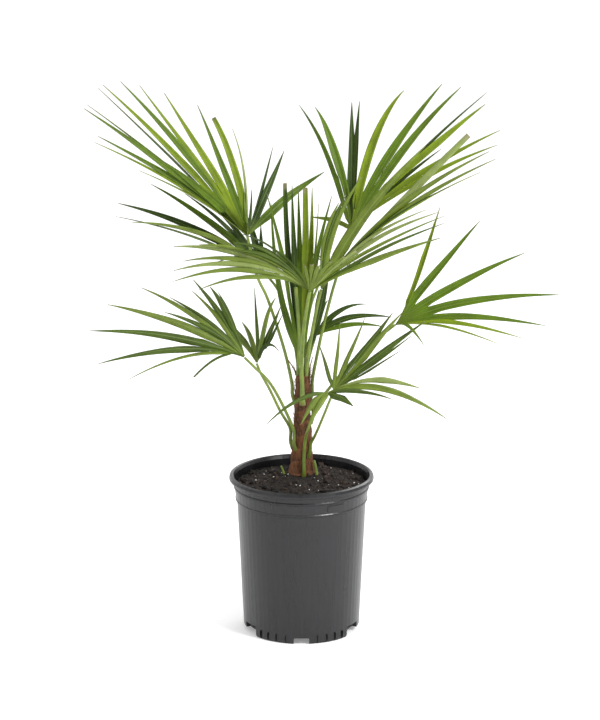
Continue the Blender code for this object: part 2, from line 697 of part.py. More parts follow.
def make_cut_stalk(name, group, material):
    path = upright_start(cut_stalks[name])
    radii = np.linspace(*cut_radii[name], len(path)) * mm
    return limb(name, path, radii, group, material)


clear_scene()
plant = make_collection("potted_windmill_palm")
tools = make_collection("cutters")
tools.hide_render = True
looks = {name: make_material(name) for name in colors}
make_pot(plant, tools, looks["pot_plastic"])
make_soil(plant, looks["soil"])
make_trunk(plant, looks["trunk_fibre"])
for frond_name, frond_sizes in fronds.items():
    make_stalk("stalk_" + frond_name, frond_sizes, plant, looks["stalk_green"])
    make_fan("fan_" + frond_name, frond_sizes, plant, looks["leaf_green"])
for stalk_name in cut_stalks:
    stalk_look = "trunk_fibre" if stalk_name.startswith("torn") else "stalk_green"
    make_cut_stalk(stalk_name, plant, looks[stalk_look])
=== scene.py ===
import math

import bpy
import numpy as np
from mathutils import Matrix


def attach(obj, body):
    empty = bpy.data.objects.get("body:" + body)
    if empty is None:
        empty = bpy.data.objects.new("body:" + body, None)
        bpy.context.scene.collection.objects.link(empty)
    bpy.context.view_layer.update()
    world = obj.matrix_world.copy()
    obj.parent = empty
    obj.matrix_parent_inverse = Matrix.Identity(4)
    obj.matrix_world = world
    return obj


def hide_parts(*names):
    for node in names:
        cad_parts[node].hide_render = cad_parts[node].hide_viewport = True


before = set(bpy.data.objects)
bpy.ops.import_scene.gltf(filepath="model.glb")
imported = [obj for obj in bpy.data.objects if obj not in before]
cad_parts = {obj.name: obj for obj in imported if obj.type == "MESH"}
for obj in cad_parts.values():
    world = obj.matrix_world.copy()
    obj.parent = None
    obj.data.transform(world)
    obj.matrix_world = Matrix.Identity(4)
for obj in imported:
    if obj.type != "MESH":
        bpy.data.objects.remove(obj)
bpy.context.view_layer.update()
mm = 0.001
fullTurn = 2 * math.pi
tiny = 1e-9  # keeps a division by a length from failing
rng = np.random.default_rng(7)  # one row of random numbers for the whole plant

# How the fronds are cut, as in the part's source: shares of a leaflet's length, and millimetres
knee = 0.40  # a rib's control point lies this far along
fusedPart = 0.34  # neighbours are joined up to this share of the shorter one
firstSplit = 9.0  # and at least this far from the hub
fullWidthPart = 0.40  # the width falls from here to the tip
longer, shorter = 1.04, 0.93  # the leaflets between two given ones change in length by turns

# The finer blades of this script, in the same units
leafRows, leafColumns = 26, 5
leafletStart = 2.2  # from the hub to the first row
rowPower = 1.15  # crowds the rows towards the hub
slopeStep, pastEnd = 0.01, 1.02  # how far apart a rib is read for its direction, and where that stops
joinedWidths = 2.3  # half widths between two ribs past which they are no longer joined
tipLoss, tipPower = 0.97, 1.35
cutWidth, cutLoss = 0.95, 0.45  # a cut leaflet keeps more of its width
gapShare, gapSlack = 0.47, 0.25  # how much of the gap to a neighbour a free edge may fill
halfwaySag, ribSag = 0.06, 0.10  # rounds the fold, in half widths
waverTurns, waverPhase, waverSize = 7, 6, 2.2
bladeThick = 0.0006  # metres
underOffset = 3  # the undersides' materials follow the three of the upper sides
seedSpan = 50  # how far apart the leaflets' vein patterns may lie

# Fronds in millimetres: the stalk's path and radii, and every leaflet's end from the hub with its lift, width
# and how many leaflets follow before the next one. faces is 1 where the upper side looks to the camera, cut
# lists the leaflets with cut tips, bow is the way of the lift, and fused stands in place of fusedPart.
fronds = {
    "front": dict(
        root=(1.5, 14.2, 384), way=((0.8, 13.2, 408), (0, 10, 440), (3, -20, 500), (8, -44, 545)),
        hub=(13, -60, 578), stalk=(4.0, 2.6), faces=-1, cut=(8, 9, 10, 11, 12, 13),
        ends=(
            (-175, -30, 10, 50, 10, 0), (-215, -15, 20, 58, 10, 0), (-215, -5, 35, 58, 10, 0),
            (-200, 5, 48, 56, 11, 0), (-215, 15, 70, 48, 11, 1), (-122, 0, 66, 42, 10, 0),
            (-118, 5, 78, 42, 10, 0), (-106, 5, 92, 38, 10, 0), (-9, -40, 52, 0, 10, 0),
            (3, -42, 54, 0, 10, 0), (14, -40, 52, 0, 10, 0), (34, -32, 56, 5, 12, 0),
            (55, -25, 62, 5, 12, 0), (74, -20, 70, 8, 12, 0), (212, 8, 121, 22, 8, 0),
            (211, -6, 112, 22, 8, 0), (205, -30, 94, 20, 13, 0),
        ),
    ),
    "bright": dict(
        root=(7.8, 24.2, 417.4), way=((9, 22, 440), (16, 4, 490), (25, -12, 543)), hub=(31, -20, 571),
        stalk=(3.2, 2.4), faces=-1, cut=(4,), bow=(-0.6, 0.0, 0.8),
        ends=(
            (28, 0, 142, 28, 10, 0), (39, 0, 155, 25, 10, 0), (63, 0, 183, 30, 9, 0),
            (164, 4, 233, 28, 15, 0), (232, 8, 249, 6, 13, 0), (194, -5, 172, 40, 8, 0),
            (264, -8, 226, 50, 10, 0), (274, -14, 215, 50, 10, 0), (250, -20, 195, 48, 8, 0),
            (206, -25, 175, 44, 8, 0), (166, -28, 137, 40, 7, 0), (184, -38, 135, 40, 7, 0),
        ),
    ),
    "upper_left": dict(
        root=(-14.8, 33, 384), way=((-16.5, 33, 408), (-30, 35, 466), (-54, 40, 540), (-72, 45, 580)),
        hub=(-87, 50, 643), stalk=(2.9, 2.2), faces=1, cut=(12,), bow=(0.35, 0.0, 0.94),
        ends=(
            (-169, -70, 122, 17, 9, 0), (-238, -74, 168, 21, 10, 0), (-233, -66, 176, 21, 9, 0),
            (-254, -74, 222, 16, 10, 0), (-250, -64, 226, 16, 9, 0),
            (-130, -90, 141, 15, 12, 0), (-232, -60, 252, 4, 10, 0), (-225, -50, 255, 15, 9, 0),
            (-198, -40, 259, 16, 12, 0), (-169, -20, 249, 4, 10, 0), (-131, 0, 233, 8, 11, 0),
            (-79, 20, 210, 8, 9, 0), (-54, 30, 187, 34, 11, 0), (-24, 40, 167, 40, 9, 0),
            (-5, -60, 90, 5, 16, 0), (8, -40, 85, 5, 8, 0), (41, 70, 131, 10, 11, 0),
            (59, 80, 123, 8, 11, 0), (124, 100, 84, 24, 12, 0),
        ),
    ),
    "upper_right": dict(
        root=(17.2, 34, 386), way=((18.4, 35, 412), (32, 40, 481), (48, 46, 546), (58, 50, 580)),
        hub=(80, 60, 654), stalk=(2.9, 2.2), faces=1, cut=(),
        ends=(
            (-66, 80, 0, 10, 7, 0), (-84, 70, 187, 57, 9, 0), (-58, 60, 186, 65, 12, 0),
            (1, 50, 196, 10, 13, 0), (13, 46, 198, 10, 13, 0), (84, 30, 219, 85, 12, 0),
            (144, 10, 233, 40, 12, 0), (174, 0, 230, 38, 11, 0), (212, -12, 204, 22, 14, 0),
            (215, -2, 221, 25, 8, 0), (143, 0, 129, 15, 7, 0), (236, -20, 164, 28, 10, 0),
            (231, -30, 142, 28, 9, 0),
        ),
    ),
    "spear_leaf": dict(
        root=(0, 31.5, 417.4), way=(), hub=(-1, 35, 438),
        stalk=(2.6, 2.4), faces=1, cut=(2, 5), bow=(1.0, 0.0, 0.0), fused=0.62,
        ends=(
            (-48, 5, 262, -22, 9, 0), (-54, -20, 282, 10, 9, 0), (-26, 4, 294, -12, 11, 0),
            (-14, -4, 292, -6, 11, 0), (-4, 8, 284, 0, 11, 0), (7, -2, 288, 6, 12, 0),
            (18, 8, 286, 10, 11, 0), (28, -2, 262, 12, 10, 0), (49, -20, 278, -14, 10, 0),
            (46, 0, 205, 25, 9, 0),
        ),
    ),
    "lower_left": dict(
        root=(-12.5, 17.6, 306), way=((-13.4, 17.4, 330), (-35, 12, 381), (-54, 8, 414), (-75, 3, 437)),
        hub=(-91, 0, 454), stalk=(2.9, 2.1), faces=-1, cut=(0,),
        ends=(
            (-81, -50, -18, 36, 9, 0), (-184, -60, -20, 45, 10, 0), (-233, -50, 3, 38, 11, 0),
            (-246, -40, 55, 28, 11, 0), (-218, -20, 93, 28, 11, 0), (-128, -10, 78, 25, 8, 0),
            (-166, 0, 116, 30, 10, 0), (-120, 8, 98, 22, 7, 0), (-85, 20, 106, 20, 7, 0),
            (-83, 30, 122, 20, 9, 0), (-56, 30, 110, 30, 13, 0), (-44, 44, 98, 30, 9, 0),
        ),
    ),
    "left_behind": dict(
        root=(-18.0, 38, 304), way=((-18.8, 38, 326), (-35, 36, 356), (-51, 33, 391), (-66, 31, 420)),
        hub=(-72, 30, 436), stalk=(2.8, 2.0), faces=-1, cut=(),
        ends=(
            (-60, 90, 55, 20, 9, 0), (-25, 76, 50, 20, 9, 0), (-4, 40, 117, 5, 10, 0),
            (31, -12, 113, 45, 8, 0), (39, -10, 99, 0, 8, 0), (42, -20, 87, 0, 7, 0), (36, -30, 28, 45, 5, 0),
        ),
    ),
    "far_right": dict(
        root=(19.1, 33, 348), way=((20.2, 32, 366), (38, 24, 388), (66, 18, 425), (100, 14, 464)),
        hub=(150, 10, 506), stalk=(2.9, 2.1), faces=1, cut=(),
        ends=(
            (63, 50, 158, -35, 12, 0), (72, 44, 184, -35, 12, 0), (136, 40, 162, 8, 11, 0),
            (208, 20, 114, 20, 11, 0), (265, -10, 52, 33, 11, 0), (239, -40, 9, 26, 11, 0),
            (200, -60, -6, 24, 10, 0), (162, -70, -13, 22, 9, 0), (44, -70, -15, 22, 9, 0),
        ),
    ),
    "low_front": dict(
        root=(4, 10.2, 259), way=((4, 12.4, 285), (6, 9, 312), (11, -3, 336), (25, -34, 378)),
        hub=(42, -60, 412), stalk=(2.9, 2.2), faces=1, cut=(),
        ends=(
            (-98, -40, -41, 28, 6, 0), (-43, -34, -43, 25, 10, 0), (-34, -50, -52, 22, 10, 0),
            (40, -50, -8, 8, 12, 0), (101, -90, 14, 18, 7, 0), (187, -60, -26, 60, 15, 0),
            (145, -40, 19, 35, 12, 0),
        ),
    ),
    "low_right": dict(
        root=(14, 19.5, 293), way=((15.5, 17.5, 306), (22, 11, 321), (33, 2, 350), (46, -10, 387)),
        hub=(52, -14, 403), stalk=(2.6, 1.9), faces=-1, cut=(), fused=0.42,
        ends=(
            (-24, 10, 75, 0, 5, 0), (10, 20, 109, 0, 5, 0), (50, 20, 116, 0, 6, 0),
            (94, 5, 128, 3, 13, 0), (108, -4, 130, 3, 12, 0), (146, -10, 118, 5, 11, 0),
            (123, -24, 97, 0, 8, 0), (106, -32, 75, 0, 8, 0), (85, -38, 63, 0, 8, 0),
        ),
    ),
    "small_right": dict(
        root=(9.2, 36.2, 417.4), way=((11, 38, 435), (15, 42, 452)), hub=(23, 50, 477),
        stalk=(2.3, 1.9), faces=1, cut=(),
        ends=(
            (5, 70, 60, 10, 8, 0), (20, 60, 45, 20, 8, 0), (83, 30, 46, 32, 9, 0),
            (123, 10, 29, 32, 9, 0), (111, -10, 18, 22, 8, 0),
        ),
    ),
    "left_back": dict(
        root=(-5.6, 36.5, 417.4), way=((-6.5, 38, 434), (-13, 50, 475), (-24, 64, 515), (-40, 78, 550)),
        hub=(-64, 90, 577), stalk=(2.4, 2.1), faces=1, cut=(),
        ends=(
            (-207, -80, 98, 45, 9, 0), (-232, -70, 105, 25, 11, 0), (-229, -50, 122, 32, 11, 0),
            (-177, -30, 149, 25, 10, 1), (-90, 30, 110, 20, 9, 0), (-30, 50, 90, 15, 9, 0),
            (-2, 20, 72, 5, 8, 0),
        ),
    ),
    "back_left": dict(
        root=(-0.2, 39.4, 417.4), way=((-1, 42, 436), (-6, 66, 490), (-10, 100, 540)), hub=(-18, 132, 572),
        stalk=(2.4, 2.1), faces=1, cut=(),
        ends=(
            (-110, 60, -8, 25, 10, 1), (-130, 130, -25, 35, 11, 1), (-75, 185, -40, 40, 11, 1),
            (-20, 210, -50, 45, 11, 1), (35, 190, -40, 40, 11, 1), (60, 130, -20, 30, 10, 0),
        ),
    ),
    "back_right": dict(
        root=(5.4, 40.6, 417.4), way=((6, 44, 436), (8, 62, 480), (16, 90, 520)), hub=(28, 118, 546),
        stalk=(2.3, 2.1), faces=1, cut=(),
        ends=(
            (-30, 120, -40, 25, 10, 1), (0, 190, -35, 35, 11, 1), (40, 190, -20, 40, 11, 1),
            (60, 150, -5, 35, 11, 1), (65, 90, 25, 25, 10, 1), (45, 40, 25, 10, 9, 0),
        ),
    ),
}

# Cut stalks and torn strands, as paths in millimetres, and the radius at each end
cutStalks = {
    "cut_spear": ((-6.5, 25.8, 417.4), (-6.3, 25, 430), (-3.5, 17, 470), (-4.5, 12, 505), (-9, 8, 568)),
    "soil_stub_left": ((-28, 24, 251.8), (-30, 24, 257), (-33, 25, 265)),
    "soil_stub_right": ((25, 17, 251.8), (23.5, 19, 262), (20.5, 22, 275)),
    "torn_fibre_left": ((-8.4, 30.5, 417.4), (-12, 28, 428), (-23, 24, 446)),
    "torn_fibre_right": ((12.2, 29.5, 417.4), (14, 29, 432), (18, 28, 448)),
}
cutRadii = {
    "cut_spear": (2.2, 2.9), "soil_stub_left": (1.9, 1.6), "soil_stub_right": (2.6, 2.2),
    "torn_fibre_left": (1.5, 0.8), "torn_fibre_right": (1.3, 0.7),
}


# A shader socket that plain arithmetic works on: each operator adds the Math node of its name
class Value:
    def __init__(self, look, socket):
        self.look = look
        self.socket = socket

    def math(self, kind, *values):
        return self.look.node("ShaderNodeMath", dict(operation=kind), dict(enumerate(values)))

    def __add__(self, other):
        return self.math("ADD", self, other)

    def __radd__(self, other):
        return self.math("ADD", other, self)

    def __sub__(self, other):
        return self.math("SUBTRACT", self, other)

    def __rsub__(self, other):
        return self.math("SUBTRACT", other, self)

    def __mul__(self, other):
        return self.math("MULTIPLY", self, other)

    def __rmul__(self, other):
        return self.math("MULTIPLY", other, self)

    def __abs__(self):
        return self.math("ABSOLUTE", self)


# A Principled material, and short ways to add nodes to it
class Look:
    def __init__(self, name):
        self.material = bpy.data.materials.new(name)
        self.material.use_nodes = True
        self.tree = self.material.node_tree
        self.shader = self.tree.nodes["Principled BSDF"]

    # Links what is a socket, and sets what is a number, a vector or a colour without its alpha
    def fill(self, node, values):
        for key, value in values.items():
            socket = node.inputs[key]
            if isinstance(value, Value):
                self.tree.links.new(value.socket, socket)
            elif socket.type == "RGBA":
                socket.default_value = (*value, 1.0)
            else:
                socket.default_value = value

    # Any node: its type, its settings, what its sockets get, and which output is wanted
    def node(self, kind, settings, values, output=0):
        made = self.tree.nodes.new(kind)
        for key, value in settings.items():
            setattr(made, key, value)
        self.fill(made, values)
        return Value(self, made.outputs[output])

    def place(self):
        return self.node("ShaderNodeTexCoord", {}, {}, "Object")

    def attribute(self, name):
        return self.node("ShaderNodeAttribute", dict(attribute_name=name), {}, "Fac")

    def stretch(self, vector, scale):
        return self.node("ShaderNodeVectorMath", dict(operation="MULTIPLY"), {0: vector, 1: scale})

    def pack(self, x, y, z):
        return self.node("ShaderNodeCombineXYZ", {}, {0: x, 1: y, 2: z})

    def noise(self, vector, scale, detail, rough):
        values = {"Vector": vector, "Scale": scale, "Detail": detail, "Roughness": rough}
        return self.node("ShaderNodeTexNoise", {}, values)

    # The value's share of the way from low to high, carried to start..end and held there
    def span(self, value, low, high, start=0.0, end=1.0):
        values = {0: value, 1: low, 2: high, 3: start, 4: end}
        return self.node("ShaderNodeMapRange", dict(clamp=True), values)

    # first (1 - share) + second share, in the Mix node's colour sockets
    def mix(self, share, first, second):
        return self.node("ShaderNodeMix", dict(data_type="RGBA"), {0: share, 6: first, 7: second}, 2)

    def bump(self, height, distance, strength):
        values = {"Height": height, "Distance": distance, "Strength": strength}
        return self.node("ShaderNodeBump", {}, values)

    # Fills the shader's own sockets, and hands the material over
    def finish(self, values):
        self.fill(self.shader, values)
        return self.material


# An object linked into the scene
def addObject(name, data):
    made = bpy.data.objects.new(name, data)
    bpy.context.scene.collection.objects.link(made)
    return made


# A mesh object from points in metres and lists of faces, riding on the plant's one body in place of the given
# CAD nodes: slotOf holds each face's material, and fields hold numbers for each point
def makePiece(name, points, faces, materials, replaced, slotOf=None, fields=None, smooth=True):
    mesh = bpy.data.meshes.new(name)
    mesh.from_pydata(points.tolist(), [], faces)
    for material in materials:
        mesh.materials.append(material)
    if slotOf is not None:
        mesh.polygons.foreach_set("material_index", np.asarray(slotOf, np.int32))
    for key, values in (fields or {}).items():
        mesh.attributes.new(key, "FLOAT", "POINT").data.foreach_set("value", np.asarray(values, np.float32))
    mesh.polygons.foreach_set("use_smooth", np.full(len(mesh.polygons), smooth))
    mesh.update()
    made = addObject(name, mesh)
    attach(made, "root")
    if replaced:
        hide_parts(*replaced)
    return made


# Rows divided by their lengths
def unit(rows):
    return rows / np.maximum(np.linalg.norm(rows, axis=-1, keepdims=True), tiny)


# share squared (3 - 2 share): a share from 0 to 1 that starts and ends level
def easeShare(share):
    return share * share * (3 - 2 * share)


# Quads of a grid of points, row after row, closed round its columns or open
def gridFaces(rows, columns, closed, first=0):
    row = np.arange(rows - 1)[:, None] * columns + first
    here = np.arange(columns if closed else columns - 1)[None, :]
    after = (here + 1) % columns
    corners = [row + here, row + after, row + columns + after, row + columns + here]
    return np.stack(corners, axis=-1).reshape(-1, 4)


# Triangles from a grid's first and last ring to the two points that follow the grid
def endFaces(rows, sides):
    here = np.arange(sides)
    after = (here + 1) % sides
    last = (rows - 1) * sides
    point = np.full(sides, rows * sides)
    low = np.stack([after, here, point], axis=1)
    high = np.stack([last + here, last + after, point + 1], axis=1)
    return np.vstack([low, high])


# What a user would change on the leaves. Colours are linear RGB. A noise is its scale, detail and roughness.
# A mark is where it starts and ends, in noise or in shares along or across the leaflet, then what it gives
# at both ends, or 0 and 1
leafLook = dict(
    top=((0.075, 0.132, 0.004), (0.028, 0.056, 0.003), (0.150, 0.215, 0.006)),  # mid green, then the same darker as painted shade and lighter as painted light
    under=((0.125, 0.175, 0.022), (0.055, 0.092, 0.008), (0.210, 0.265, 0.075)),
    shares=(0.5, 0.25, 0.25),  # how many leaflets have each tint: mid, painted shade, painted light
    shadeAndLightShares=dict(  # painted shade and painted light: fronds that stand in shade get more of the dark tint, those in the light more of the bright one
        left_back=(0.15, 0.85, 0.0), spear_leaf=(0.35, 0.5, 0.15), back_left=(0.4, 0.6, 0.0),
        back_right=(0.4, 0.6, 0.0), bright=(0.35, 0.1, 0.55), upper_right=(0.5, 0.25, 0.25),
        lower_left=(0.35, 0.65, 0.0), left_behind=(0.3, 0.7, 0.0), low_right=(0.35, 0.6, 0.05),
        front=(0.6, 0.2, 0.2), far_right=(0.6, 0.2, 0.2),
    ),
    darker=0.62, lighter=1.45, veinLighter=1.9,
    topRib=(0.17, 0.24, 0.03), underRib=(0.20, 0.27, 0.07),
    foot=(0.16, 0.22, 0.025), dryTip=(0.20, 0.17, 0.10),
    veinNoise=(1.6, 4.0, 0.7), veinStretch=(9.0, 0.8, 1.0), mottleNoise=(38.0, 4.0, 0.6),
    stripWide=3.0, stripLong=2.5,  # how far the veins' pattern runs over a leaflet
    mottleMark=(0.3, 0.7), veinMark=(0.42, 0.68, 0.0, 0.6), foldShadeMark=(0.0, 0.25, 0.0, 0.4), foldShadeAt=0.75,
    ribMark=(0.0, 0.10, 0.75, 0.0), footMark=(0.0, 0.22, 0.55, 0.0), tipMark=(0.955, 1.0, 0.0, 0.85),
    roughnessMark=(0.2, 0.8, 0.38, 0.58), specular=0.25, tipRagged=0.05, foldPart=0.24, broaden=1.18,
    veinHeight=0.6, mottleHeight=0.15, bumpDepth=0.0006, bumpStrength=0.4,
)


# Every leaflet of a frond, the given ones and those between: a way midway between two given ends, at a length
# midway between theirs and a little longer or shorter by turns
def leafletsOf(frond):
    ends = frond["ends"]
    found = []
    for k, (right, back, up, lift, width, more) in enumerate(ends):
        here = np.array((right, back, up), float)
        found.append((here, lift, width, k in frond["cut"]))
        for j in range(1, more + 1 if k + 1 < len(ends) else 1):
            after = np.array(ends[k + 1][:3], float)
            share = j / (more + 1)
            way = unit(unit(here) * (1 - share) + unit(after) * share)
            length = (1 - share) * np.linalg.norm(here) + share * np.linalg.norm(after)
            end = way * length * (longer if (k + j) % 2 else shorter)
            nextLift, nextWidth = ends[k + 1][3:5]
            found.append((end, lift + share * (nextLift - lift), width + share * (nextWidth - width), False))
    return found


# A rib at a share of its way: hub + 2 share (1 - share) control + share squared end
def ribAt(share, hub, control, end):
    share = share[..., None]
    return hub + 2 * share * (1 - share) * control + share**2 * end


# A fan of leaflets, each a strip of five columns folded along its rib. Where two are joined, their edges lie
# midway between the ribs. Past that an edge stands half a width from its rib, and the width is the leaflet's
# times 1 - tipLoss (tail to the power tipPower), or times cutWidth - cutLoss (share squared) where it is cut
def makeFan(name, frond, materials):
    hub = np.array(frond["hub"], float)
    bow = np.array(frond.get("bow", (0.0, 0.0, 1.0)))
    facing = frond["faces"]
    parts = leafletsOf(frond)
    end = np.array([part[0] for part in parts])
    lift = np.array([part[1] for part in parts], float)
    width = np.array([part[2] for part in parts], float)
    isCut = np.array([part[3] for part in parts])
    count = len(parts)
    index = np.arange(count)
    control = knee * end + lift[:, None] * bow
    reach = np.linalg.norm(end, axis=1)
    steps = np.linspace(0, 1, leafRows)[:, None] ** rowPower
    shares = leafletStart / reach + (1 - leafletStart / reach) * steps
    far = shares * reach
    line = ribAt(shares, hub, control, end)
    ahead = ribAt(np.minimum(shares + slopeStep, pastEnd), hub, control, end)
    out = unit(ahead - ribAt(shares - slopeStep, hub, control, end))
    # The neighbours' ribs as far from the hub, left then right; the outermost leaflets mirror their inner one
    nextRib = np.empty((2, leafRows, count, 3))
    for side, shift in enumerate((-1, 1)):
        beside = index + shift
        outermost = (beside < 0) | (beside >= count)
        beside = np.where(outermost, index - shift, beside)
        rib = ribAt(np.clip(far / reach[beside], 0, 1), hub, control[beside], end[beside])
        nextRib[side] = np.where(outermost[:, None], 2 * line - rib, rib)
    apart = np.linalg.norm(nextRib - line, axis=3)
    split = np.minimum(reach[1:], reach[:-1]) * frond.get("fused", fusedPart)
    limit = np.array([[split[0], *split], [*split, split[-1]]])
    wide = 0.5 * width * leafLook["broaden"]
    joined = (far < np.maximum(limit[:, None], firstSplit)) & (apart < joinedWidths * wide)
    # The blade's own way to the right, read where each leaflet parts from its neighbours, away from its ends
    parting = np.clip(joined.all(axis=0).sum(axis=0), 2, leafRows - 3)
    rightWay = unit(nextRib[1, parting, index] - nextRib[0, parting, index])
    across = unit(rightWay - out * (out * rightWay).sum(2, keepdims=True))
    normal = np.cross(across, out)
    tail = np.clip((steps - fullWidthPart) / (1 - fullWidthPart), 0, 1)
    shape = np.where(isCut, cutWidth - cutLoss * steps**2, 1 - tipLoss * tail**tipPower)
    fullHalf = wide * shape
    fold = leafLook["foldPart"] * 2 * facing
    columns = []
    for side, sign in enumerate((-1.0, 1.0)):
        half = np.minimum(fullHalf, gapShare * apart[side] + gapSlack)
        ridge = 0.25 * np.minimum(apart[side], 2 * wide) * fold  # half as steep as a free edge
        midEdge = line + 0.5 * (nextRib[side] - line) + normal * ridge[..., None]
        freeEdge = line + across * (sign * half)[..., None] + normal * (half * fold)[..., None]
        edge = np.where(joined[side][..., None], midEdge, freeEdge)
        halfway = 0.5 * (line + edge) - normal * (halfwaySag * half * facing)[..., None]
        columns.append([edge, halfway])
    (leftEdge, leftHalfway), (rightEdge, rightHalfway) = columns
    rib = line - normal * (ribSag * fullHalf * facing)[..., None]
    points = np.stack([leftEdge, leftHalfway, rib, rightHalfway, rightEdge], axis=2)
    jitter = rng.uniform(-1, 1, (count, 3))[:, 0]  # three are drawn for each leaflet, and the first is used
    waver = np.sin(steps * waverTurns + jitter * waverPhase) * steps * (1 - steps) * waverSize
    points += (waver[..., None] * across)[:, :, None]
    points = points.transpose(1, 0, 2, 3).reshape(-1, 3)
    each = leafRows * leafColumns
    faces = np.vstack([gridFaces(leafRows, leafColumns, False, k * each) for k in range(count)])
    if facing < 0:
        faces = faces[:, ::-1]
    # Each leaflet's tint: the dark one is painted shade, the bright one painted light
    shadedAndLitTints = rng.choice(3, size=count, p=leafLook["shadeAndLightShares"].get(name, leafLook["shares"]))
    fields = dict(
        along=np.tile(np.repeat(steps, leafColumns), count),
        side=np.tile(np.linspace(-1, 1, leafColumns), count * leafRows),
        seed=np.repeat(rng.uniform(0, seedSpan, count), each),
    )
    piece = makePiece("leaves_" + name, points * mm, faces.tolist(), materials, ["fan_" + name],
                      np.repeat(shadedAndLitTints, (leafRows - 1) * (leafColumns - 1)), fields)
    thick = piece.modifiers.new("thickness", "SOLIDIFY")
    thick.thickness = bladeThick
    thick.offset = -1.0
    thick.material_offset = underOffset


# Leaf tissue: a mottled tint, then veins along the leaflet, painted shade in the hollows beside the folds,
# the paler rib and foot, and a dry tip; each is mixed in by its own mark
def leafMaterial(name, color, ribColor):
    look = Look(name)
    along = look.attribute("along")
    side = look.attribute("side")
    seed = look.attribute("seed")
    strip = look.pack(side * leafLook["stripWide"] + seed, along * leafLook["stripLong"] + seed, seed)
    veins = look.noise(look.stretch(strip, leafLook["veinStretch"]), *leafLook["veinNoise"])
    mottle = look.noise(look.place(), *leafLook["mottleNoise"])
    dark = scaled(color, leafLook["darker"])
    tone = look.mix(look.span(mottle, *leafLook["mottleMark"]), dark, scaled(color, leafLook["lighter"]))
    veinShare = look.span(veins, *leafLook["veinMark"])
    tone = look.mix(veinShare, tone, scaled(color, leafLook["veinLighter"]))
    # Painted shade: the dark tint laid in the hollows beside the folds
    tone = look.mix(look.span(abs(abs(side) - leafLook["foldShadeAt"]), *leafLook["foldShadeMark"]), tone, dark)
    tone = look.mix(look.span(abs(side), *leafLook["ribMark"]), tone, ribColor)
    tone = look.mix(look.span(along, *leafLook["footMark"]), tone, leafLook["foot"])
    ragged = along + (mottle - 0.5) * leafLook["tipRagged"]
    tone = look.mix(look.span(ragged, *leafLook["tipMark"]), tone, leafLook["dryTip"])
    height = veins * leafLook["veinHeight"] + mottle * leafLook["mottleHeight"]
    return look.finish({
        "Base Color": tone, "Roughness": look.span(veins, *leafLook["roughnessMark"]),
        "Normal": look.bump(height, leafLook["bumpDepth"], leafLook["bumpStrength"]),
        "Specular IOR Level": leafLook["specular"],
    })


# A colour times a number
def scaled(color, factor):
    return tuple(factor * part for part in color)


# Points on a Catmull-Rom curve: each span is the cubic through its two ends whose slopes are half the way
# between the points on either side, and the first and last point are mirrored for it
def smoothPath(points, steps):
    given = np.array(points, float)
    if len(given) == 2:
        return np.linspace(given[0], given[1], steps + 1)
    ends = np.vstack([2 * given[0] - given[1], given, 2 * given[-1] - given[-2]])
    share = np.linspace(0, 1, steps, endpoint=False)[:, None]
    spans = []
    for before, start, end, after in zip(ends, ends[1:], ends[2:], ends[3:]):
        slope = end - before
        bend = 2 * before - 5 * start + 4 * end - after
        twist = 3 * start - before - 3 * end + after
        spans.append(0.5 * (2 * start + slope * share + bend * share**2 + twist * share**3))
    return np.vstack([*spans, given[-1:]])


nearlyBack = np.array((0.03, 1.0, 0.02))  # a ring is laid out from this direction
footPoint, headPoint = 0.3, 0.6  # how far a tube's ends stand out, in radii


# A closed tube: at each point of the path the ring across radius cos(turn) + back radius sin(turn), with back
# flattened by a share, and a blunt point at both ends
def tube(path, radii, sides, flat=0.0):
    out = unit(np.gradient(path, axis=0))
    across = unit(np.cross(out, nearlyBack))
    back = np.cross(out, across)
    turn = np.linspace(0, fullTurn, sides, endpoint=False)
    ring = np.cos(turn)[:, None] * across[:, None] + (1 - flat) * np.sin(turn)[:, None] * back[:, None]
    body = (path[:, None] + ring * radii[:, None, None]).reshape(-1, 3)
    caps = [path[0] - out[0] * radii[0] * footPoint, path[-1] + out[-1] * radii[-1] * headPoint]
    rows = len(path)
    along = np.concatenate([np.repeat(np.linspace(0, 1, rows), sides), [0, 1]])
    around = np.concatenate([np.tile(turn / fullTurn, rows), [0, 0]])
    points = np.vstack([body, caps])
    quads = gridFaces(rows, sides, True)
    return dict(points=points, quads=quads, ends=endFaces(rows, sides), along=along, round=around)


tubeSeed = 1.7  # sets one tube's pattern off from the next


# Several tubes as one piece: their arrays one after another, with each tube's faces counted on from the last
def joinTubes(name, tubes, material, replaced):
    faces = []
    first = 0
    for made in tubes:
        faces += (made["quads"] + first).tolist() + (made["ends"] + first).tolist()
        first += len(made["points"])
    points = np.vstack([made["points"] for made in tubes])
    fields = {key: np.concatenate([made[key] for made in tubes]) for key in ("along", "round")}
    seeds = [np.full(len(made["points"]), k * tubeSeed) for k, made in enumerate(tubes)]
    fields["seed"] = np.concatenate(seeds)
    makePiece(name, points, faces, [material], replaced, None, fields)


# What a user would change on the stalks: colours, marks as on the leaves, and sizes in millimetres
stalkLook = dict(
    dark=(0.095, 0.150, 0.012), light=(0.190, 0.260, 0.030),
    ridge=(0.26, 0.33, 0.06), foot=(0.16, 0.13, 0.04),
    ridgeNoise=(1.5, 3.0, 0.6), blotchNoise=(45.0, 4.0, 0.6), stripRound=22.0, stripLong=3.0,
    blotchMark=(0.35, 0.65), ridgeMark=(0.45, 0.7, 0.0, 0.5), footMark=(0.0, 0.12, 0.75, 0.0),
    roughness=0.42, bumpDepth=0.0005, bumpStrength=0.35,
    sides=14, cutSides=12, steps=12, cutSteps=8, flat=0.15,
    intoTrunk=4.5, belowRoot=13.0, footFlare=0.35, flareFall=9,
)


